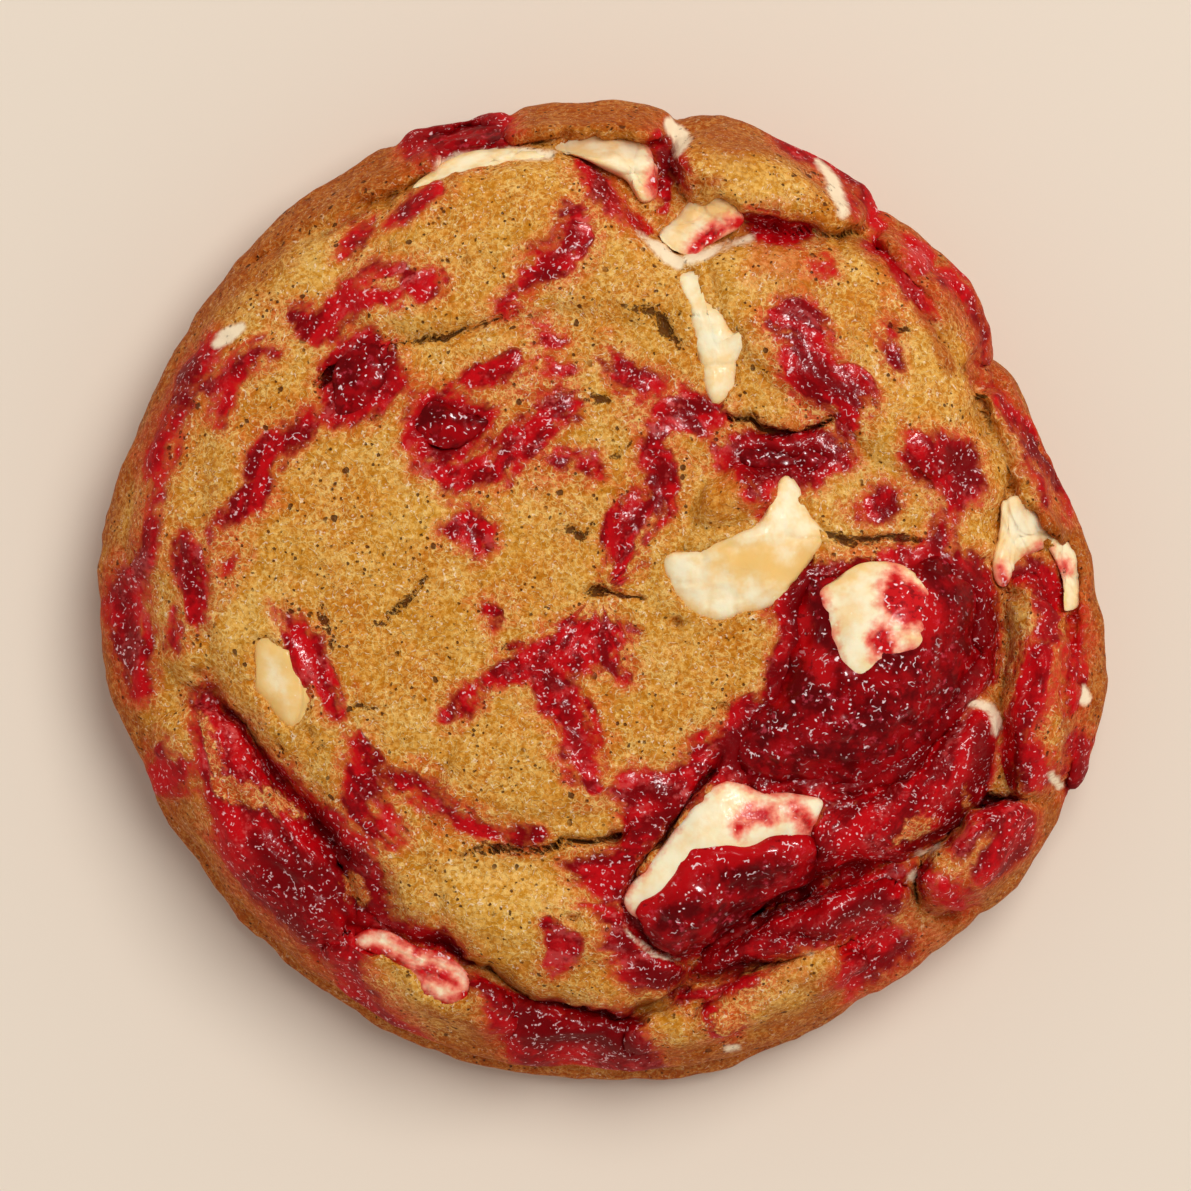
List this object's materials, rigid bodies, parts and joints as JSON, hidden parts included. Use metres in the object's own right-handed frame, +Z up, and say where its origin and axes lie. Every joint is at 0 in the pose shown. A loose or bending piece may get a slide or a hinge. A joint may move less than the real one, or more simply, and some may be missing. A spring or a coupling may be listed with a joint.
{
  "type": "raspberry and white chocolate cookie",
  "caption": "Thick round soft-baked cookie with folded dough lobes, white chocolate pieces and glossy raspberry pools set in its top.",
  "frame": {"origin": "middle of the outline's box, on the flat base", "axes": "+Z up out of the top, +X towards the side with the large raspberry mound, +Y away from the lowest crease"},
  "size_m": [0.101, 0.098, 0.0296],
  "materials": {
    "dough": "soft baked dough, sugar grained, golden brown with red marbling",
    "white_chocolate": "ivory white chocolate, satin",
    "raspberry": "wet glossy deep red fruit"
  },
  "bodies": {
    "root": {"cookie_dough": "dough", "white_chocolate_far": "white_chocolate", "white_chocolate_cube": "white_chocolate", "white_chocolate_drip": "white_chocolate", "white_chocolate_left": "white_chocolate", "white_chocolate_centre": "white_chocolate", "white_chocolate_mound": "white_chocolate", "white_chocolate_block": "white_chocolate", "white_chocolate_right": "white_chocolate", "white_chocolate_fold": "white_chocolate", "white_chocolate_near": "white_chocolate", "white_chocolate_rim": "white_chocolate", "raspberry_mound": "raspberry", "raspberry_cover": "raspberry", "raspberry_centre": "raspberry", "raspberry_rim": "raspberry", "raspberry_left": "raspberry", "raspberry_pocket": "raspberry"}
  },
  "joints": []
}
